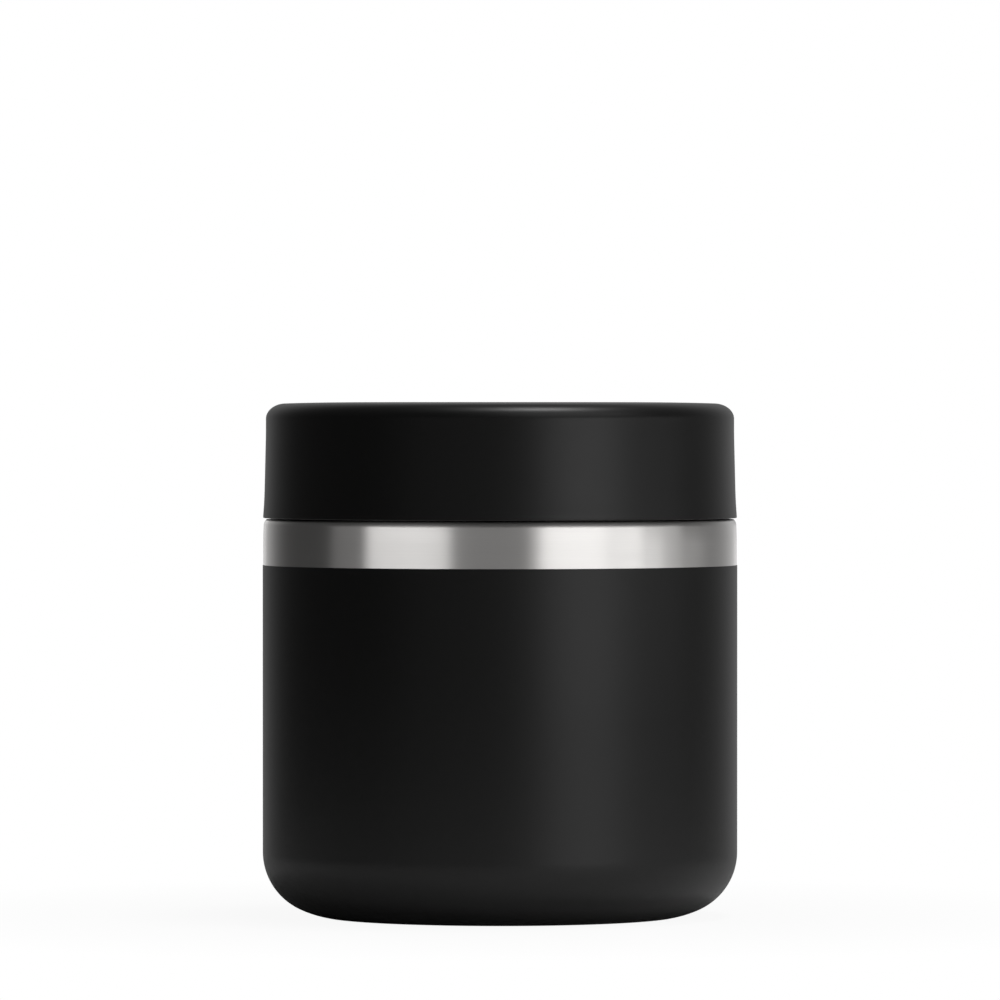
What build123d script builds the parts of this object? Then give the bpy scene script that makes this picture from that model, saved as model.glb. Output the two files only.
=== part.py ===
"""Insulated food jar with a screw lid: a double-walled steel vessel, vacuum between the walls.

Row frame: +Z up along the jar's own axis, origin at the centre of the ring it stands on.
All lengths are in millimetres.

The vessel is two thin steel cups, one inside the other, joined only at the mouth. The outer
cup is a tube with a stepped-in, threaded neck, closed by a welded base pan; a thin powder coat
covers it up to a bare steel band below the lid. The lid is a moulded cap over a moulded liner,
with foam between them, and seals on the vessel's rim with a silicone ring.
"""

from build123d import *
import math
import os

# ---- outside sizes ----
body_diameter = 96.0        # over the powder coat
body_height = 80.45         # standing ring to the top of the shoulder
band_height = 9.35          # bare steel showing between the coat and the shoulder
coat_thickness = 0.2

# ---- steel sheet ----
shell_wall = 0.6            # outer shell and base pan
liner_wall = 0.5            # inner liner
neck_gap = 1.4              # vacuum space between the two walls at the neck

# ---- shoulder and neck ----
shoulder_lean = 0.3         # how far the band leans in at its top
shoulder_lean_height = 3.4
shoulder_lean_radius = 40.0
shoulder_radius = 1.3
neck_root_radius = 1.2
neck_height = 17.6          # shoulder to rim
lip_radius = 1.6            # bend of the liner's turned-out lip
rim_edge_radius = 0.3

# ---- base pan ----
base_corner_radius = 12.7   # upper arc of the corner, over the coat
base_corner_angle = 65.0    # degrees the upper arc turns through before the lower one
base_round_radius = 20.2    # lower arc, over the coat
base_corner_sink = 0.3      # the lower arc is cut this far above its lowest point
base_weld_height = 1.0      # weld seam above the end of the corner
foot_width = 3.0            # flat ring that the jar stands on
foot_slope = 0.8
recess_depth = 1.8
pan_bend_radius = 1.0       # over the outside
dimple_depth = 1.2          # pocket round the evacuation hole
dimple_slope = 1.0
dimple_margin = 0.5         # bead of glass to the pocket's slope
evacuation_hole_radius = 0.6
base_disc_thickness = 0.5
base_disc_clearance = 1.0

# ---- inside the vacuum ----
floor_gap = 5.0             # base pan to liner
liner_corner_radius = 12.0
foil_thickness = 0.15
foil_top_margin = 3.0       # the foil ends below the shoulder
vacuum_seal_radius = 3.5
vacuum_seal_height = 0.9
getter_radius = 4.0
getter_height = 2.0
getter_inset = 11.9         # from the edge of the pan's recess
getter_cup_wall = 0.3
getter_cup_clearance = 0.1
getter_strap_length = 16.0
getter_strap_width = 5.0
getter_strap_end_radius = 1.0

# ---- lid, from the outside in ----
lid_inset = 0.65            # the cap's wall stands inside the body's outline
lid_gap = 0.15              # shoulder to the lid's lower edge
lid_flare = 0.5             # the cap's lower edge reaches out again
lid_flare_height = 14.0
cap_wall = 1.9
cap_top_wall = 1.6
cap_crown = 0.07
cap_corner_run = 4.3        # elliptical top corner, across and down
cap_corner_drop = 3.3
cap_edge_radius = 0.2
cap_inner_corner = 1.2
lid_side_cavity = 0.6       # air between the cap's wall and the liner's skirt
lid_top_cavity = 0.5
weld_rib_width = 1.5        # ring that joins the cap's ceiling to the liner
lid_liner_wall = 1.7        # the same in the plug, the ceiling and the threaded skirt
flange_thickness = 1.4      # ring at the skirt's foot that closes the cap
flange_recess = 0.5
skirt_corner_radius = 0.5
plug_clearance = 0.6        # plug to the vessel's mouth
plug_depth = 12.0           # below the rim
plug_inner_corner = 0.8
plug_root_radius = 0.3
plug_dish_margin = 7.0      # flat border of the plug's dished underside
plug_dish_depth = 0.5
plug_dish_slope = 30.0      # degrees from the vertical
gate_radius = 1.5           # moulding gate at the middle of the plug
gate_height = 0.4
foam_clearance = 0.3

# ---- lid gasket ----
gasket_thickness = 1.9      # over its bead
gasket_rim_gap = 0.1        # rim to the bead
gasket_clearance = 0.1      # gasket to the lid, above it and round the plug
gasket_side_clearance = 0.5 # gasket to the skirt
gasket_edge_radius = 0.4
gasket_bead_radius = 0.5    # bead under the gasket that meets the rim
gasket_bead_proud = 0.3
keeper_radius = 0.4         # bead on the plug that keeps the gasket in the lid
keeper_gap = 0.1

# ---- screw thread, two starts, right-handed ----
thread_starts = 2
thread_pitch = 6.0          # ridge to ridge along the axis
thread_height = 1.3         # how far either ridge stands out of its wall
thread_clearance = 0.35     # ridge crest to the facing wall
neck_ridge_radius = 1.6
lid_ridge_radius = 1.4
neck_thread_foot = 5.4      # shoulder to the start of the ridge
neck_thread_top = 4.4       # end of the ridge to the rim
lid_thread_lag = 0.1        # turns between the starts of the neck's and the lid's ridge
lid_thread_turns = 0.45

# ---- radii that follow ----
body_radius = body_diameter / 2
shell_radius = body_radius - coat_thickness
cap_radius = body_radius - lid_inset
cap_inner_radius = cap_radius - cap_wall
skirt_outer_radius = cap_inner_radius - lid_side_cavity
skirt_inner_radius = skirt_outer_radius - lid_liner_wall
neck_radius = skirt_inner_radius - thread_clearance - thread_height
neck_inner_radius = neck_radius - shell_wall
liner_outer_radius = neck_inner_radius - neck_gap
mouth_radius = liner_outer_radius - liner_wall
lip_centre = (mouth_radius + lip_radius + neck_radius) / 2
plug_radius = mouth_radius - plug_clearance
plug_inner_radius = plug_radius - lid_liner_wall
plug_edge_radius = plug_inner_corner + lid_liner_wall
weld_rib_radius = (plug_inner_radius + skirt_outer_radius) / 2

# ---- heights that follow ----
coat_top = body_height - band_height
rim_height = body_height + neck_height
pan_top = recess_depth + shell_wall
liner_underside = pan_top + floor_gap
liner_floor = liner_underside + liner_wall
lid_bottom = body_height + lid_gap
gasket_bottom = rim_height + gasket_rim_gap
gasket_underside = gasket_bottom + gasket_bead_proud
gasket_seat = gasket_bottom + gasket_thickness + gasket_clearance
lid_liner_top = gasket_seat + lid_liner_wall
cap_ceiling = lid_liner_top + lid_top_cavity
lid_shoulder_height = cap_ceiling + cap_top_wall
lid_top = lid_shoulder_height + cap_crown
plug_bottom = rim_height - plug_depth
plug_floor = plug_bottom + lid_liner_wall
flange_bottom = lid_bottom + flange_recess

# ---- base corner: two arcs, one running into the other; coat and steel share their centres ----
corner_turn = math.radians(base_corner_angle)
centre_step = base_round_radius - base_corner_radius
round_height = base_round_radius - base_corner_sink
corner_height = round_height - centre_step * math.sin(corner_turn)
corner_centre = (body_radius - base_corner_radius, corner_height)
round_centre = (corner_centre[0] - centre_step * math.cos(corner_turn), round_height)
steel_corner_radius = base_corner_radius - coat_thickness
steel_round_radius = base_round_radius - coat_thickness
coat_end_angle = math.degrees(math.asin(round_height / base_round_radius))
steel_end_angle = math.degrees(math.asin(round_height / steel_round_radius))
base_seam = corner_height + base_weld_height
foot_outer = round_centre[0] + math.sqrt(steel_round_radius**2 - round_height**2)
foot_inner = foot_outer - foot_width
recess_radius = foot_inner - foot_slope
dimple_roof_radius = vacuum_seal_radius + dimple_margin
getter_distance = recess_radius - getter_inset
dimple_roof = recess_depth + dimple_depth

# ---- thread positions ----
thread_lead = thread_starts * thread_pitch
neck_thread_start = body_height + neck_thread_foot
neck_thread_height = neck_height - neck_thread_foot - neck_thread_top
neck_ridge_centre = neck_radius + thread_height - neck_ridge_radius
lid_ridge_centre = skirt_inner_radius - thread_height + lid_ridge_radius
lid_thread_start = neck_thread_start - thread_pitch / 2 + lid_thread_lag * thread_lead
lid_thread_height = lid_thread_turns * thread_lead

os.makedirs("parts", exist_ok=True)


def finish(builder, name):
    """Labels a finished piece and writes it as parts/NAME.step."""
    builder.part.label = name
    export_step(builder.part, f"parts/{name}.step")


def base_arcs(corner_radius, round_radius, end_angle):
    """The base corner's two arcs, from the wall down to the standing ring's plane."""
    corner = CenterArc(corner_centre, corner_radius, 0, -base_corner_angle)
    lower = base_corner_angle - end_angle
    return corner, CenterArc(round_centre, round_radius, -base_corner_angle, lower)


# ---- powder coat: a skin over the shell and the base pan, down to the standing ring ----
with BuildPart() as powder_coat:
    with BuildSketch(Plane.XZ):
        with BuildLine():
            coat_corner, coat_round = base_arcs(
                base_corner_radius, base_round_radius, coat_end_angle
            )
            steel_corner, steel_round = base_arcs(
                steel_corner_radius, steel_round_radius, steel_end_angle
            )
            Polyline(
                coat_corner @ 0,
                (body_radius, coat_top),
                (shell_radius, coat_top),
                steel_corner @ 0,
            )
            Line(coat_round @ 1, steel_round @ 1)
        make_face()
    revolve(axis=Axis.Z)
finish(powder_coat, "powder_coat")


def screw_ridge(centre_radius, bar_radius, start_height, rise):
    """A round bar along the screw's helix from +X, with a ball at each end."""
    with BuildPart() as bar:
        with BuildLine():
            helix = Helix(thread_lead, rise, centre_radius, center=(0, 0, start_height))
        with BuildSketch(Plane(origin=helix @ 0, z_dir=helix % 0)):
            Circle(bar_radius)
        sweep(is_frenet=True)
        with Locations(helix @ 0, helix @ 1):
            Sphere(bar_radius)
    return bar.part


# ---- one ridge of the neck's thread, cut off within the neck's wall ----
with BuildPart() as neck_ridge:
    add(screw_ridge(neck_ridge_centre, neck_ridge_radius, neck_thread_start, neck_thread_height))
    with Locations((0, 0, rim_height)):
        Cylinder(neck_radius - shell_wall / 2, 2 * neck_height, mode=Mode.SUBTRACT)


# ---- outer shell: drawn tube with a shoulder and a threaded neck ----
with BuildPart() as outer_shell:
    with BuildSketch(Plane.XZ):
        with BuildLine():
            FilletPolyline(
                (shell_radius, base_seam),
                (shell_radius, body_height - shoulder_lean_height),
                (shell_radius - shoulder_lean, body_height),
                (neck_radius, body_height),
                (neck_radius, rim_height - liner_wall),
                radius=[shoulder_lean_radius, shoulder_radius, neck_root_radius],
            )
            offset(amount=shell_wall, side=Side.LEFT)
        make_face()
    revolve(axis=Axis.Z)
    with PolarLocations(0, thread_starts):
        add(neck_ridge.part)
finish(outer_shell, "outer_shell")


# ---- base pan: the rounded lower corner, the standing ring and a recess with the seal pocket ----
with BuildPart() as base_pan:
    with BuildSketch(Plane.XZ):
        with BuildLine():
            Line((shell_radius, base_seam), (shell_radius, corner_height))
            pan_corner, pan_round = base_arcs(
                steel_corner_radius, steel_round_radius, steel_end_angle
            )
            FilletPolyline(
                pan_round @ 1,
                (foot_inner, 0),
                (recess_radius, recess_depth),
                (dimple_roof_radius + dimple_slope, recess_depth),
                (dimple_roof_radius, dimple_roof),
                (evacuation_hole_radius, dimple_roof),
                radius=pan_bend_radius,
            )
            offset(amount=shell_wall, side=Side.RIGHT, kind=Kind.INTERSECTION)
        make_face()
    revolve(axis=Axis.Z)
finish(base_pan, "base_pan")


# ---- bead of solder glass that closes the evacuation hole ----
with BuildPart() as vacuum_seal:
    with BuildSketch(Plane.XZ):
        with BuildLine():
            ThreePointArc(
                (-vacuum_seal_radius, dimple_roof),
                (0, dimple_roof - vacuum_seal_height),
                (vacuum_seal_radius, dimple_roof),
            )
            Line((vacuum_seal_radius, dimple_roof), (-vacuum_seal_radius, dimple_roof))
        make_face()
        split(bisect_by=Plane.YZ)
        with Locations((0, dimple_roof)):
            Rectangle(evacuation_hole_radius, shell_wall, align=(Align.MIN, Align.MIN))
    revolve(axis=Axis.Z)
finish(vacuum_seal, "vacuum_seal")


# ---- base disc: covers the seal, fixed flat in the base pan's recess ----
with BuildPart() as base_disc:
    with BuildSketch(Plane.XY.offset(recess_depth)):
        Circle(recess_radius - base_disc_clearance)
    extrude(amount=-base_disc_thickness)
finish(base_disc, "base_disc")


# ---- inner liner: the food cup, its lip turned out over the neck ----
with BuildPart() as inner_liner:
    with BuildSketch(Plane.XZ):
        with BuildLine():
            FilletPolyline(
                (0, liner_floor),
                (mouth_radius, liner_floor),
                (mouth_radius, rim_height),
                (neck_radius, rim_height),
                radius=[liner_corner_radius, lip_radius],
            )
            offset(amount=liner_wall, side=Side.RIGHT)
        make_face()
        fillet(vertices().sort_by(Axis.X)[-2:].sort_by(Axis.Y)[-1], rim_edge_radius)
    revolve(axis=Axis.Z)
finish(inner_liner, "inner_liner")


# ---- foil round the liner and under it, against radiant heat ----
with BuildPart() as foil_wrap:
    with BuildSketch(Plane.XY.offset(liner_floor + liner_corner_radius)):
        Circle(liner_outer_radius + foil_thickness)
        Circle(liner_outer_radius, mode=Mode.SUBTRACT)
    extrude(amount=coat_top - foil_top_margin - liner_floor - liner_corner_radius)
finish(foil_wrap, "foil_wrap")

with BuildPart() as foil_disc:
    with BuildSketch(Plane.XY.offset(liner_underside)):
        Circle(mouth_radius - liner_corner_radius)
    extrude(amount=-foil_thickness)
finish(foil_disc, "foil_disc")


# ---- getter: a pellet that takes up stray gas, in a cup on a strap spot-welded to the pan ----
getter_plane = Plane.XY.offset(pan_top)
cup_radius = getter_radius + getter_cup_clearance + getter_cup_wall
with BuildPart() as getter_holder:
    with BuildSketch(getter_plane):
        with Locations((getter_distance, 0)):
            Rectangle(getter_strap_width, getter_strap_length)
            fillet(vertices(), getter_strap_end_radius)
            Circle(cup_radius)
    extrude(amount=getter_cup_wall)
    with BuildSketch(getter_plane):
        with Locations((getter_distance, 0)):
            Circle(cup_radius)
            Circle(cup_radius - getter_cup_wall, mode=Mode.SUBTRACT)
    extrude(amount=getter_height)
finish(getter_holder, "getter_holder")

with BuildPart() as getter_pellet:
    with BuildSketch(getter_plane.offset(getter_cup_wall)):
        with Locations((getter_distance, 0)):
            Circle(getter_radius)
    extrude(amount=getter_height)
finish(getter_pellet, "getter_pellet")


# ---- lid cap: the moulded outer cover ----
with BuildPart() as lid_cap:
    with BuildSketch(Plane.XZ):
        with BuildLine():
            crown = ThreePointArc(
                (cap_corner_run - cap_radius, lid_shoulder_height),
                (0, lid_top),
                (cap_radius - cap_corner_run, lid_shoulder_height),
            )
            corner = EllipticalCenterArc(
                (cap_radius - cap_corner_run, lid_shoulder_height - cap_corner_drop),
                cap_corner_run,
                cap_corner_drop,
                start_angle=0,
                arc_size=90,
            )
            wall = Line(corner @ 0, (cap_radius, lid_bottom + lid_flare_height))
            flare = TangentArc(wall @ 1, (cap_radius + lid_flare, lid_bottom), tangent=(0, -1))
            Polyline(flare @ 1, (0, lid_bottom), (0, lid_shoulder_height), crown @ 0)
        make_face()
        split(bisect_by=Plane.YZ)
    revolve(axis=Axis.Z)
    with BuildSketch(Plane.XZ):
        with Locations((0, lid_bottom)):
            Rectangle(cap_inner_radius, cap_ceiling - lid_bottom, align=(Align.MIN, Align.MIN))
        fillet(vertices().sort_by(Axis.X)[-2:].sort_by(Axis.Y)[-1], cap_inner_corner)
    revolve(axis=Axis.Z, mode=Mode.SUBTRACT)
    fillet(edges().filter_by(GeomType.CIRCLE).group_by(Axis.Z)[0], cap_edge_radius)
    with BuildSketch(Plane.XY.offset(lid_liner_top)):
        Circle(weld_rib_radius + weld_rib_width / 2)
        Circle(weld_rib_radius - weld_rib_width / 2, mode=Mode.SUBTRACT)
    extrude(amount=lid_top_cavity)
finish(lid_cap, "lid_cap")


# ---- one ridge of the lid's thread, cut off within the skirt's wall ----
with BuildPart() as lid_ridge:
    add(screw_ridge(lid_ridge_centre, lid_ridge_radius, lid_thread_start, lid_thread_height))
    with Locations((0, 0, rim_height)):
        Cylinder(skirt_inner_radius + lid_liner_wall / 2, 2 * rim_height, mode=Mode.INTERSECT)


# ---- lid liner: plug, ceiling and threaded skirt in one moulding of even wall ----
with BuildPart() as lid_liner:
    with BuildSketch(Plane.XZ):
        with BuildLine():
            FilletPolyline(
                (0, plug_bottom),
                (plug_radius, plug_bottom),
                (plug_radius, gasket_seat),
                (skirt_inner_radius, gasket_seat),
                (skirt_inner_radius, flange_bottom),
                radius=[plug_edge_radius, plug_root_radius, skirt_corner_radius],
            )
            offset(amount=lid_liner_wall, side=Side.LEFT)
        make_face()
        with Locations((plug_radius, gasket_underside - keeper_gap - keeper_radius)):
            Circle(keeper_radius)
        with Locations((skirt_inner_radius, flange_bottom)):
            Rectangle(
                cap_inner_radius - skirt_inner_radius,
                flange_thickness,
                align=(Align.MIN, Align.MIN),
            )
    revolve(axis=Axis.Z)
    with BuildSketch(Plane.XY.offset(plug_bottom)):
        Circle(plug_radius - plug_dish_margin)
    extrude(amount=plug_dish_depth, taper=plug_dish_slope, mode=Mode.SUBTRACT)
    with BuildSketch(Plane.XY.offset(plug_bottom + plug_dish_depth)):
        Circle(gate_radius)
    extrude(amount=-gate_height)
    with PolarLocations(0, thread_starts, start_angle=360 * lid_thread_lag):
        add(lid_ridge.part)
finish(lid_liner, "lid_liner")


# ---- foam core in the plug's cup ----
with BuildPart() as lid_foam:
    with BuildSketch(Plane.XY.offset(plug_floor)):
        Circle(plug_inner_radius - foam_clearance)
    extrude(amount=cap_ceiling - foam_clearance - plug_floor)
    fillet(edges().group_by(Axis.Z)[0], plug_inner_corner)
finish(lid_foam, "lid_foam")


# ---- gasket: silicone ring round the plug, its bead over the vessel's rim ----
gasket_bore = plug_radius + gasket_clearance
gasket_reach = skirt_inner_radius - gasket_side_clearance
with BuildPart() as lid_gasket:
    with BuildSketch(Plane.XZ):
        with Locations((gasket_bore, gasket_underside)):
            Rectangle(
                gasket_reach - gasket_bore,
                gasket_thickness - gasket_bead_proud,
                align=(Align.MIN, Align.MIN),
            )
        fillet(vertices(), gasket_edge_radius)
        with Locations((lip_centre, gasket_bottom + gasket_bead_radius)):
            Circle(gasket_bead_radius)
    revolve(axis=Axis.Z)
finish(lid_gasket, "lid_gasket")
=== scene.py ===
"""Insulated food jar with a screw lid, dressed round its CAD frame. Two steel cups, one in the
other, are joined at the mouth; the outer one wears a black powder coat below a bare steel band,
and a moulded black lid with a threaded lining and a silicone ring screws onto the neck."""

import math

import bpy
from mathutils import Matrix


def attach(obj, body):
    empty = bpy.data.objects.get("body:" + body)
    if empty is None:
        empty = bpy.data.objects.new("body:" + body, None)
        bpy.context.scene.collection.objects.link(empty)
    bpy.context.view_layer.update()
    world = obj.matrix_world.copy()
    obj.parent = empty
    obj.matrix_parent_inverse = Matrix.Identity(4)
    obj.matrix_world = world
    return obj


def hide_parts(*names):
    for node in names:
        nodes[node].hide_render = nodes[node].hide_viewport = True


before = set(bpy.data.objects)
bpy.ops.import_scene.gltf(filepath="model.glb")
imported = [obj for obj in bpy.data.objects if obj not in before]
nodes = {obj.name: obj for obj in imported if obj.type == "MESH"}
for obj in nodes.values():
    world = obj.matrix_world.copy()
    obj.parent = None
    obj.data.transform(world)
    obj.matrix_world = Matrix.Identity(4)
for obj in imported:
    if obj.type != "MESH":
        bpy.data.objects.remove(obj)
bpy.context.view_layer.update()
mm = 0.001


# ---------------------------------------------------------------------------------------------
# Inner liner: the food cup. It is deep-drawn from one disc of stainless steel and polished round
# and round, so fine rings run up its wall and across its floor, and its lip turns out at the rim.
# ---------------------------------------------------------------------------------------------
class Signal:
    """One value in a material's node tree, so that shader maths reads as plain sums."""

    def __init__(self, tree, socket=None):
        self.tree = tree
        self.socket = socket

    def node(self, kind, settings={}, inputs={}, output=0):
        """Adds a node, fills in its settings and then its sockets, and gives one output."""
        made = self.tree.nodes.new(kind)
        for name, value in settings.items():
            setattr(made, name, value)
        for name, value in inputs.items():
            if isinstance(value, Signal):
                self.tree.links.new(value.socket, made.inputs[name])
            else:
                made.inputs[name].default_value = value
        return Signal(self.tree, made.outputs[output])

    def maths(self, operation, *values):
        settings = {"operation": operation}
        return self.node("ShaderNodeMath", settings, dict(enumerate(values)))

    def __add__(self, other):
        return self.maths("ADD", self, other)

    def __rsub__(self, other):
        return self.maths("SUBTRACT", other, self)

    def __mul__(self, other):
        return self.maths("MULTIPLY", self, other)

    def __pow__(self, other):
        return self.maths("POWER", self, other)

    __radd__ = __add__
    __rmul__ = __mul__


class Finish(Signal):
    """A material with one Principled shader: plain numbers set at once, signals fed in later."""

    def __init__(self, name, colour, **sockets):
        self.material = bpy.data.materials.new(name)
        self.material.use_nodes = True
        super().__init__(self.material.node_tree)
        self.shader = self.tree.nodes["Principled BSDF"]
        self.shader.inputs["Base Color"].default_value = (*colour, 1)
        for socket, value in sockets.items():
            self.shader.inputs[socket.replace("_", " ")].default_value = value
        self.place = self.node("ShaderNodeTexCoord", output="Object")

    def noise(self, size, detail=2.0, roughness=0.5, place=None, kind="ShaderNodeTexNoise"):
        """Soft noise whose grains are about size metres across."""
        sockets = {"Vector": place or self.place, "Scale": 1 / size}
        if kind == "ShaderNodeTexNoise":
            sockets.update({"Detail": detail, "Roughness": roughness})
        return self.node(kind, {}, sockets)

    def rings(self, length, width):
        """Coordinates for lines that run round the jar's axis, on its walls and its floors."""
        split = {"Vector": self.place}
        x, y, z = [self.node("ShaderNodeSeparateXYZ", {}, split, axis) for axis in "XYZ"]
        across = (x * x + y * y) ** 0.5 + z
        axes = {"X": x * (1 / length), "Y": y * (1 / length), "Z": across * (1 / width)}
        return self.node("ShaderNodeCombineXYZ", {}, axes)

    def shade(self, factor, darkest, lightest):
        """Lets the base colour run from darkest to lightest as factor goes from 0 to 1."""
        first, second, mixed = 6, 7, 2
        sockets = {"Factor": factor, first: (*darkest, 1), second: (*lightest, 1)}
        blend = self.node("ShaderNodeMix", {"data_type": "RGBA"}, sockets, mixed)
        self.feed("Base Color", blend)

    def feed(self, socket, value):
        self.tree.links.new(value.socket, self.shader.inputs[socket])

    def bump(self, height, distance):
        """Raises the surface by up to distance metres where height is 1."""
        sockets = {"Height": height, "Distance": distance, "Strength": 1.0}
        self.feed("Normal", self.node("ShaderNodeBump", {}, sockets, "Normal"))

    def dress(self, *pieces):
        for piece in pieces:
            piece.data.materials.clear()
            piece.data.materials.append(self.material)


def turned_steel(name, dark, light, roughness, length, width, depth, **sockets):
    """Steel with fine lines round the jar's axis, each about length long and width wide."""
    steel = Finish(name, light, Metallic=1.0, Roughness=roughness, **sockets)
    lines = steel.noise(1.0, 3.0, 0.6, steel.rings(length, width))
    drift = steel.noise(1.0, 1.0, 0.5, steel.rings(2 * length, 12 * width))
    steel.shade(lines, dark, light)
    steel.feed("Roughness", roughness - 0.04 + 0.05 * lines + 0.03 * drift)
    steel.bump(lines, depth)
    return steel


liner_steel = turned_steel(
    "polished_liner_steel", (0.56, 0.55, 0.54), (0.66, 0.65, 0.64), 0.27,
    length=22 * mm, width=0.22 * mm, depth=0.0012 * mm, Anisotropic=0.6,
    Anisotropic_Rotation=0.25,
)
liner_steel.dress(nodes["inner_liner"])


# ---------------------------------------------------------------------------------------------
# Copper foil: a thin crumpled sheet wrapped round the liner and a disc of it under the liner, to
# throw heat back. Both lie in the vacuum and are never handled once the base pan is welded on.
# ---------------------------------------------------------------------------------------------
copper_foil = Finish("crumpled_copper_foil", (0.72, 0.4, 0.27), Metallic=1.0, Roughness=0.28)
creases = copper_foil.node(
    "ShaderNodeTexVoronoi", {"feature": "DISTANCE_TO_EDGE"},
    {"Vector": copper_foil.place, "Scale": 1 / (7 * mm)},
)
crumple = copper_foil.noise(3 * mm, 4.0, 0.6)
copper_foil.shade(crumple, (0.62, 0.31, 0.2), (0.78, 0.46, 0.32))
copper_foil.feed("Roughness", 0.2 + 0.2 * crumple)
copper_foil.bump(creases + 0.6 * crumple, 0.25 * mm)
copper_foil.dress(nodes["foil_wrap"], nodes["foil_disc"])


# ---------------------------------------------------------------------------------------------
# Getter: a pellet of sintered metal powder that takes up stray gas. It sits in a small cup on a
# strap of bare steel, which is spot-welded to the base pan.
# ---------------------------------------------------------------------------------------------
sintered_metal = Finish("sintered_getter", (0.25, 0.24, 0.23), Metallic=0.6, Roughness=0.75)
powder = sintered_metal.noise(0.12 * mm, 3.0, 0.7)
sintered_metal.shade(powder, (0.17, 0.16, 0.155), (0.33, 0.32, 0.3))
sintered_metal.feed("Roughness", 0.62 + 0.25 * powder)
sintered_metal.bump(powder, 0.06 * mm)
sintered_metal.dress(nodes["getter_pellet"])

strap_steel = Finish("rolled_strap_steel", (0.6, 0.59, 0.57), Metallic=1.0, Roughness=0.36)
rolling = strap_steel.noise(0.35 * mm, 3.0, 0.6)
heat_tint = strap_steel.noise(5 * mm, 1.0)
strap_steel.shade(heat_tint, (0.5, 0.47, 0.43), (0.64, 0.63, 0.62))
strap_steel.feed("Roughness", 0.3 + 0.14 * rolling)
strap_steel.bump(rolling, 0.004 * mm)
strap_steel.dress(nodes["getter_holder"])


# ---------------------------------------------------------------------------------------------
# Outer shell: a stainless tube of 0.6 mm sheet. Its bare band is brushed round and round, leans
# in a little towards the shoulder and turns in to the neck, where two thread ridges are rolled.
# ---------------------------------------------------------------------------------------------
def rounded(corners, spacing=6.0):
    """Section points in millimetres through corners given as (radius, height, bend radius); the
    points of a bend lie about spacing degrees apart."""
    points = []
    for index, (radius, height, bend) in enumerate(corners):
        if not bend:
            points.append((radius, height))
            continue
        ways = []
        for other in (corners[index - 1], corners[index + 1]):
            along = (other[0] - radius, other[1] - height)
            length = math.hypot(*along)
            ways.append((along[0] / length, along[1] / length))
        half = math.acos(ways[0][0] * ways[1][0] + ways[0][1] * ways[1][1]) / 2
        middle = (ways[0][0] + ways[1][0], ways[0][1] + ways[1][1])
        scale = bend / math.sin(half) / math.hypot(*middle)
        centre = (radius + middle[0] * scale, height + middle[1] * scale)
        angles = []
        for way in ways:
            touch = [bend / math.tan(half) * part for part in way]
            angles.append(math.atan2(height + touch[1] - centre[1], radius + touch[0] - centre[0]))
        sweep = (angles[1] - angles[0] + math.pi) % (2 * math.pi) - math.pi
        steps = max(3, math.ceil(math.degrees(abs(sweep)) / spacing))
        for step in range(steps + 1):
            angle = angles[0] + sweep * step / steps
            points.append((centre[0] + bend * math.cos(angle), centre[1] + bend * math.sin(angle)))
    return points


def turned(name, outline, body, node):
    """Spins (radius, height) points in millimetres into a closed piece that stands for a node."""
    sides, weld, sharpest_smooth = 256, 0.002 * mm, math.radians(28)
    bpy.ops.object.select_all(action="DESELECT")
    start = (outline[0][0] * mm, 0, outline[0][1] * mm)
    bpy.ops.mesh.primitive_plane_add(size=mm, location=start)
    piece = bpy.context.object
    piece.name = name
    bpy.ops.object.transform_apply(location=True, rotation=True, scale=True)
    bpy.ops.object.mode_set(mode="EDIT")
    bpy.ops.mesh.select_all(action="SELECT")
    bpy.ops.mesh.merge(type="CENTER")
    for before, after in zip(outline, outline[1:]):
        move = ((after[0] - before[0]) * mm, 0, (after[1] - before[1]) * mm)
        bpy.ops.mesh.extrude_vertices_move(TRANSFORM_OT_translate={"value": move})
    bpy.ops.mesh.select_all(action="SELECT")
    bpy.ops.mesh.spin(steps=sides, angle=2 * math.pi, center=(0, 0, 0), axis=(0, 0, 1))
    bpy.ops.mesh.select_all(action="SELECT")
    bpy.ops.mesh.remove_doubles(threshold=weld)
    bpy.ops.mesh.normals_make_consistent(inside=False)
    bpy.ops.object.mode_set(mode="OBJECT")
    bpy.ops.object.shade_smooth_by_angle(angle=sharpest_smooth)
    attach(piece, body)
    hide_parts(node)
    return piece


def rows(radius, low, high, step=0.3):
    """Evenly spaced section points up or down a straight wall that a thread is formed in."""
    count = math.ceil(abs(high - low) / step)
    return [(radius, low + (high - low) * index / count) for index in range(1, count)]


def form_thread(piece, wall, height, half_width, start, first_turn, rise):
    """Swells a wall into two screw ridges of 12 mm lead; a negative height swells it inwards."""
    lead, run_out, fullness, near_wall = 12.0, math.radians(16), 1.6, 0.02
    for vertex in piece.data.vertices:
        x, y, z = vertex.co / mm
        radius = math.hypot(x, y)
        if abs(radius - wall) > near_wall:
            continue
        swell = 0.0
        for begin in (0, math.pi):
            turn = (math.atan2(y, x) - math.radians(first_turn) - begin) % (2 * math.pi)
            if turn > 1.5 * math.pi:
                turn -= 2 * math.pi
            last = rise / lead * 2 * math.pi
            fade = min(1, (turn + run_out / 2) / run_out, (last - turn + run_out / 2) / run_out)
            offset = abs(z - start - lead * turn / (2 * math.pi)) / half_width
            if fade > 0 and offset < 1:
                soft = fade * fade * (3 - 2 * fade)
                swell = max(swell, soft * math.cos(offset * math.pi / 2) ** fullness)
        scale = 1 + height * swell / radius
        vertex.co.x *= scale
        vertex.co.y *= scale


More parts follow.
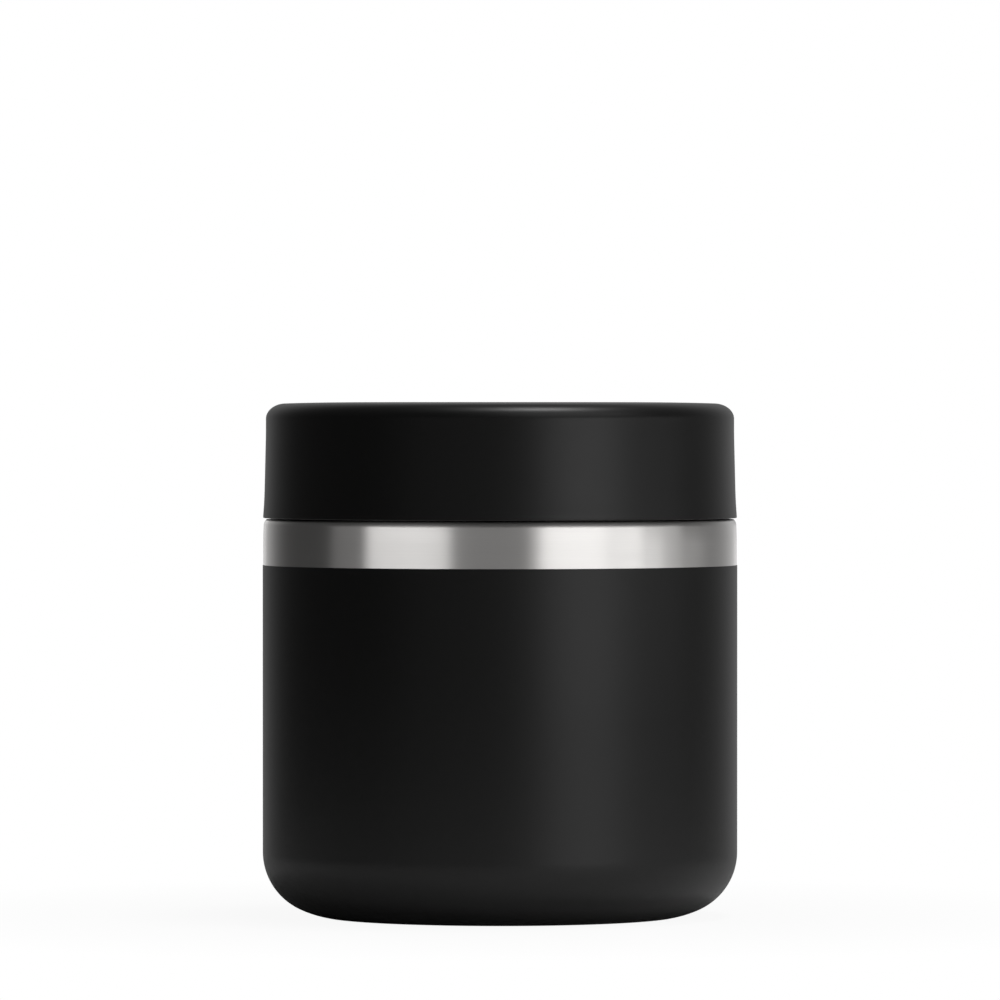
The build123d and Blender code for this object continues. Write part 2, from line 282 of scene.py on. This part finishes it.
band_wall, neck_wall, weld_line, mouth, shoulder, sheet = 47.9, 41.5, 14.1, 97.55, 80.32, 0.6
shell_outside = rounded([
    (band_wall, weld_line, 0), (band_wall, 77.4, 60), (47.76, 79.8, 1.8), (47.3, shoulder, 0.2),
    (neck_wall, shoulder, 1.2), (neck_wall, mouth, 0),
])
shell_inside = rounded([
    (neck_wall - sheet, mouth, 0), (neck_wall - sheet, shoulder - sheet, 1.8),
    (47.0, shoulder - sheet, 0), (47.17, 79.53, 0.6), (band_wall - sheet, 77.4, 60 - sheet),
    (band_wall - sheet, weld_line, 0),
])
thread_wall = rows(neck_wall, 81.7, 97.5)
outer_shell = turned(
    "shell_with_rolled_neck",
    shell_outside[:-1] + thread_wall + shell_outside[-1:] + shell_inside + shell_outside[:1],
    "vessel", "outer_shell",
)
form_thread(
    outer_shell, neck_wall, height=1.3, half_width=2.1, start=85.85, first_turn=0, rise=7.8
)
band_steel = turned_steel(
    "brushed_band_steel", (0.602, 0.59, 0.578), (0.643, 0.63, 0.617), 0.3,
    length=17 * mm, width=0.18 * mm, depth=0.0006 * mm, Anisotropic=0.8,
    Anisotropic_Rotation=0.25,
)
band_steel.dress(outer_shell)


# ---------------------------------------------------------------------------------------------
# Base pan and seal: the pressed steel bottom, welded to the shell and brushed as the shell is. A
# bead of dark solder glass closes the hole in it that the air was pumped out through.
# ---------------------------------------------------------------------------------------------
band_steel.dress(nodes["base_pan"])

solder_glass = Finish("dark_solder_glass", (0.05, 0.055, 0.05), Roughness=0.12)
swirl = solder_glass.noise(1.2 * mm, 3.0, 0.6)
solder_glass.shade(swirl, (0.03, 0.034, 0.03), (0.1, 0.105, 0.095))
solder_glass.feed("Roughness", 0.06 + 0.14 * swirl)
solder_glass.bump(swirl, 0.03 * mm)
solder_glass.dress(nodes["vacuum_seal"])


# ---------------------------------------------------------------------------------------------
# Base disc: a plain blanked disc with a rolled-over edge, bonded flat in the pan's recess over
# the seal, and faced on a lathe so that its rings run round the middle.
# ---------------------------------------------------------------------------------------------
base_disc = turned(
    "faced_base_disc",
    rounded([
        (0, 1.42, 0), (24.5, 1.42, 0.5), (25.0, 1.3, 0.5), (29.32, 1.3, 0.22), (29.32, 1.8, 0.05),
        (0, 1.8, 0),
    ]),
    "vessel", "base_disc",
)
disc_steel = turned_steel(
    "faced_disc_steel", (0.5, 0.49, 0.48), (0.62, 0.61, 0.6), 0.34,
    length=14 * mm, width=0.16 * mm, depth=0.002 * mm, Anisotropic=0.6,
    Anisotropic_Rotation=0.25,
)
disc_steel.dress(base_disc)


# ---------------------------------------------------------------------------------------------
# Powder coat: a baked skin 0.1 mm thick on the wall, from the standing ring up to a masked edge
# below the bare band. It has the faint orange peel of sprayed powder and a soft, rounded edge.
# ---------------------------------------------------------------------------------------------
def arc(centre, radius, start, end, steps):
    """Section points on an arc, from one angle in degrees to another."""
    turn = [math.radians(start + (end - start) * step / steps) for step in range(steps + 1)]
    return [(centre[0] + radius * math.cos(a), centre[1] + radius * math.sin(a)) for a in turn]


coat_wall, masked_edge = 48.0, 71.1
foot, foot_outside, foot_inside = (32.13, 19.9), 20.2, 20.0
corner, corner_outside, corner_inside = (35.3, 13.1), 12.7, 12.5
coat_edge = [(coat_wall, 40.0, 0), (coat_wall, masked_edge, 0.07), (band_wall, masked_edge, 0)]
coat_section = (
    arc(foot, foot_outside, -80.11, -65, 10)
    + arc(corner, corner_outside, -65, 0, 24)[1:]
    + rounded(coat_edge, spacing=15.0)
    + [(band_wall, weld_line), (47.8, weld_line)]
    + arc(corner, corner_inside, 0, -65, 24)
    + arc(foot, foot_inside, -65, -84.27, 12)[1:]
)
powder_coat = turned(
    "baked_powder_coat", coat_section + coat_section[:1], "vessel", "powder_coat"
)
black_powder = Finish("black_powder_coat", (0.003, 0.003, 0.003), Roughness=0.43)
peel = black_powder.noise(0.9 * mm, 2.0, 0.5)
grain = black_powder.noise(0.22 * mm, 2.0, 0.6)
black_powder.shade(peel, (0.0024, 0.0023, 0.0022), (0.0036, 0.0035, 0.0034))
black_powder.feed("Roughness", 0.39 + 0.08 * grain)
black_powder.bump(peel + 0.35 * grain, 0.006 * mm)
black_powder.dress(powder_coat)


# ---------------------------------------------------------------------------------------------
# Lid liner: plug, ceiling and threaded skirt in one moulding of black polypropylene. Its two
# thread ridges are moulded on the skirt, and the plug has a dished face with a gate mark.
# ---------------------------------------------------------------------------------------------
skirt_bore, skirt_top, skirt_foot = 43.15, 99.6, 81.15
liner_section = rounded([
    (0, 86.15, 0), (1.5, 86.15, 0.15), (1.5, 86.55, 0), (31.1, 86.55, 0.6), (31.4, 86.05, 0.6),
    (38.4, 86.05, 2.5), (38.4, 97.55, 0.2), (38.8, 97.75, 0.3), (38.8, 98.15, 0.3),
    (38.4, 98.35, 0.2), (38.4, 100.15, 0.3), (skirt_bore, 100.15, 0.5), (skirt_bore, skirt_top, 0),
])
liner_section += rows(skirt_bore, skirt_top, skirt_foot + 0.25)
liner_section += rounded([
    (skirt_bore, skirt_foot + 0.25, 0), (skirt_bore, skirt_foot - 0.05, 0.22), (45.45, 81.1, 0.1),
    (45.45, 82.5, 0.1), (44.85, 82.5, 0), (44.85, 101.85, 2.2), (36.7, 101.85, 2.0),
    (36.7, 87.75, 0.8), (0, 87.75, 0),
])
lid_liner = turned("threaded_lid_liner", liner_section, "lid", "lid_liner")
form_thread(
    lid_liner, skirt_bore, height=-1.3, half_width=1.8, start=84.05, first_turn=36, rise=5.4
)
liner_plastic = Finish("moulded_liner_plastic", (0.022, 0.021, 0.02), Roughness=0.36)
flow = liner_plastic.noise(6 * mm, 3.0, 0.5)
skin = liner_plastic.noise(0.15 * mm, 2.0, 0.5)
liner_plastic.shade(flow, (0.018, 0.0175, 0.017), (0.027, 0.026, 0.025))
liner_plastic.feed("Roughness", 0.31 + 0.06 * flow + 0.05 * skin)
liner_plastic.bump(skin, 0.003 * mm)
liner_plastic.dress(lid_liner)


# ---------------------------------------------------------------------------------------------
# Lid foam: a disc of pale closed-cell foam that fills the plug's cup and slows the heat on its way
# out. It is laid in loose and shut in when the cap goes on.
# ---------------------------------------------------------------------------------------------
pale_foam = Finish("closed_cell_foam", (0.8, 0.76, 0.62), Roughness=0.9)
cells = pale_foam.noise(0.6 * mm, kind="ShaderNodeTexVoronoi")
pale_foam.shade(cells, (0.66, 0.6, 0.45), (0.85, 0.82, 0.7))
pale_foam.feed("Roughness", 0.8 + 0.15 * cells)
pale_foam.bump(cells, 0.2 * mm)
pale_foam.dress(nodes["lid_foam"])


# ---------------------------------------------------------------------------------------------
# Lid cap: the moulded outer cover, black polypropylene with a fine spark-eroded texture. Its top
# falls a little towards a soft corner, its wall widens downwards so that it leaves the mould, and
# a weld ring under its ceiling holds the liner.
# ---------------------------------------------------------------------------------------------
top_height, top_fall, top_edge, flatness, facets = 104.02, 0.27, 43.5, 6, 24
cap_wall, wall_top, corner_width, corner_height, first_slope = 47.35, 100.654, 4.05, 3.1, 2.8
cap_section = [
    (top_edge * step / facets, top_height - top_fall * (step / facets) ** flatness)
    for step in range(facets + 1)
]
for step in range(1, facets + 1):
    angle = math.radians(first_slope + (90 - first_slope) * step / facets)
    cap_section.append((
        cap_wall - corner_width + corner_width * math.sin(angle),
        wall_top + corner_height * math.cos(angle),
    ))
cap_section += rounded([
    (cap_wall, wall_top, 0), (cap_wall, 97.5, 150), (47.66, 84.5, 80), (47.93, 80.6, 0.2),
    (45.45, 80.6, 0.2), (45.45, 102.35, 1.2), (41.525, 102.35, 0), (41.525, 101.85, 0),
    (40.025, 101.85, 0), (40.025, 102.35, 0), (0, 102.35, 0),
])[1:]
lid_cap = turned("moulded_lid_cap", cap_section, "lid", "lid_cap")
cap_plastic = Finish("textured_cap_plastic", (0.003, 0.003, 0.003), Roughness=0.4)
spark = cap_plastic.noise(0.3 * mm, 3.0, 0.6)
mould_wear = cap_plastic.noise(9 * mm, 2.0, 0.5)
cap_plastic.shade(mould_wear, (0.0025, 0.0024, 0.0023), (0.0036, 0.0035, 0.0034))
cap_plastic.feed("Roughness", 0.37 + 0.05 * spark + 0.03 * mould_wear)
cap_plastic.bump(spark, 0.004 * mm)
cap_plastic.dress(lid_cap)


# ---------------------------------------------------------------------------------------------
# Lid gasket: a ring of grey silicone with a bead underneath, pushed over the plug and kept there
# by a small ridge. It meets the liner's lip when the lid is screwed down.
# ---------------------------------------------------------------------------------------------
silicone = Finish(
    "grey_silicone", (0.5, 0.5, 0.48), Roughness=0.5, Subsurface_Weight=0.15,
    Subsurface_Scale=1.5 * mm,
)
bloom = silicone.noise(2.5 * mm, 3.0, 0.6)
silicone.shade(bloom, (0.44, 0.44, 0.42), (0.56, 0.56, 0.54))
silicone.feed("Roughness", 0.42 + 0.16 * bloom)
silicone.bump(silicone.noise(0.2 * mm, 2.0), 0.004 * mm)
silicone.dress(nodes["lid_gasket"])


# ---------------------------------------------------------------------------------------------
# Studio: soft panels on stands, low at the right and high above it, with a small one overhead and
# a pale wall behind. Light links keep two of them off the steel and a row of strips on it alone.
# ---------------------------------------------------------------------------------------------
def panel(name, azimuth, elevation, distance, width, tall, radiance, only=None):
    """A soft panel facing the jar's middle; azimuth 0 is the camera's side and 90 the right. The
    panel lights only what the collection lets through, where one is given."""
    jar_middle, around, up = 55 * mm, math.radians(azimuth), math.radians(elevation)
    lamp = bpy.data.lights.new(name, "AREA")
    lamp.shape = "RECTANGLE"
    lamp.size = width
    lamp.size_y = tall
    lamp.energy = radiance * width * tall * math.pi
    lamp_object = bpy.data.objects.new(name, lamp)
    level = distance * math.cos(up)
    lamp_object.location = (
        math.sin(around) * level, -math.cos(around) * level, jar_middle + distance * math.sin(up)
    )
    lamp_object.rotation_euler = (math.pi / 2 - up, 0, around)
    bpy.context.scene.collection.objects.link(lamp_object)
    lamp_object.visible_camera = False
    if only:
        lamp_object.light_linking.receiver_collection = only
    return lamp_object


off_band = bpy.data.collections.new("off_band")
off_band.objects.link(outer_shell)
off_band.collection_objects[0].light_linking.link_state = "EXCLUDE"
panel("right_softbox", 39, 3.5, 1.0, 0.64, 0.22, 2.8, off_band)
panel("high_softbox", 42, 45, 1.0, 0.9, 0.6, 0.85, off_band)
panel("side_softbox", 75, 6, 1.0, 0.8, 0.3, 0.65)
panel("front_fill", -18, 6, 1.0, 1.1, 0.3, 0.19)
panel("overhead_spot", 95, 80, 1.1, 0.24, 0.24, 20.0)
band_alone = bpy.data.collections.new("band_alone")
band_alone.objects.link(outer_shell)
strip_height = 0.25
for azimuth, elevation, width, radiance in (
    (-169, 4, 0.38, 0.4), (-79, 4, 0.3, 0.3), (-45, 4, 0.79, 2.45), (-3, 4, 0.68, 0.3),
    (33.2, 4, 0.7, 0.98), (35.5, 4, 0.61, 2.68), (62, 2, 0.33, 2.22), (78, -10, 0.2, 2.3),
    (88, -15, 0.15, 1.7), (107, -17, 0.34, 2.55), (126, -17, 0.4, 0.65), (169, -6, 0.38, 0.5),
):
    name = f"band_strip_{azimuth}"
    panel(name, azimuth, elevation, 1.0, width, strip_height, radiance, band_alone)

world = bpy.data.worlds.new("studio_walls")
bpy.context.scene.world = world
world.use_nodes = True
walls = Signal(world.node_tree)
seen = walls.node("ShaderNodeLightPath", output="Is Camera Ray")
way = walls.node("ShaderNodeTexCoord", output="Generated")
wall_light, behind, behind_right = 0.058, (0, 1, 0), (0.64, 0.77, 0)
for towards, sharpness, level in (
    (behind, 8, 1.1), (behind, 20, -0.85), (behind_right, 6, 0.16),
):
    facing = walls.node(
        "ShaderNodeVectorMath", {"operation": "DOT_PRODUCT"}, {0: way, 1: towards}, "Value"
    )
    wall_light = level * facing.maths("MAXIMUM", facing, 0) ** sharpness + wall_light
strength = seen + (1 - seen) * wall_light
background = world.node_tree.nodes["Background"]
background.inputs["Color"].default_value = (1, 1, 1, 1)
world.node_tree.links.new(strength.socket, background.inputs["Strength"])


# ---------------------------------------------------------------------------------------------
# Floor: a plain pale table top just under the jar, which keeps its soft shadow. From below, the
# jar is seen through it, and a panel under the table lights the steel in its foot.
# ---------------------------------------------------------------------------------------------
bpy.ops.object.select_all(action="DESELECT")
floor_radius, floor_height = 0.16, -0.004 * mm
bpy.ops.mesh.primitive_circle_add(
    vertices=64, radius=floor_radius, fill_type="NGON", location=(0, 0, floor_height)
)
floor = bpy.context.object
floor.name = "studio_floor"
floor_alone = bpy.data.collections.new("floor_alone")
floor_alone.objects.link(floor)
panel("floor_wash", 40, 55, 1.0, 0.6, 0.3, 1.8, floor_alone)
underside = bpy.data.collections.new("underside")
underside.objects.link(base_disc)
underside.objects.link(nodes["base_pan"])
through_floor = bpy.data.collections.new("through_floor")
through_floor.objects.link(floor)
through_floor.collection_objects[0].light_linking.link_state = "EXCLUDE"
under_softbox = panel("under_softbox", 20, -50, 1.0, 0.9, 0.6, 3.5, underside)
under_softbox.light_linking.blocker_collection = through_floor
ground = Finish("pale_floor", (0.88, 0.88, 0.88), Roughness=0.9)
from_camera = ground.node("ShaderNodeLightPath", output="Is Camera Ray")
away = ground.node("ShaderNodeVectorMath", {"operation": "LENGTH"}, {0: ground.place}, "Value")
whiten = ground.node(
    "ShaderNodeMapRange", {},
    {"Value": away, "From Min": 0.05, "From Max": 0.15, "To Min": 0.93, "To Max": 1.0},
)
white = ground.node("ShaderNodeEmission", {}, {"Strength": 1.0})
lit = Signal(ground.tree, ground.shader.outputs[0])
surface = ground.node("ShaderNodeMixShader", {}, {0: from_camera * whiten, 1: lit, 2: white})
from_below = ground.node("ShaderNodeNewGeometry", output="Backfacing")
clear = ground.node("ShaderNodeBsdfTransparent")
see_through = {0: from_camera * from_below, 1: surface, 2: clear}
surface = ground.node("ShaderNodeMixShader", {}, see_through)
output = ground.tree.nodes["Material Output"]
ground.tree.links.new(surface.socket, output.inputs["Surface"])
ground.dress(floor)


# ---------------------------------------------------------------------------------------------
# Camera: level with the top of the lid and 1.84 m from the jar's axis, behind a long lens, so that
# the round edges bow only a little. It is tipped down by 0.6 degrees.
# ---------------------------------------------------------------------------------------------
camera_height = 104.4 * mm
camera_distance = 1.840
camera_aim = 84.21 * mm
camera = bpy.data.cameras.new("front_camera")
camera.lens = 327.4
camera.sensor_width = 36
camera.clip_start = 0.05
camera_object = bpy.data.objects.new("front_camera", camera)
camera_object.location = (0, -camera_distance, camera_height)
tip = math.atan2(camera_height - camera_aim, camera_distance)
camera_object.rotation_euler = (math.pi / 2 - tip, 0, 0)
bpy.context.scene.collection.objects.link(camera_object)
bpy.context.scene.camera = camera_object
bpy.context.scene.view_settings.view_transform = "Standard"
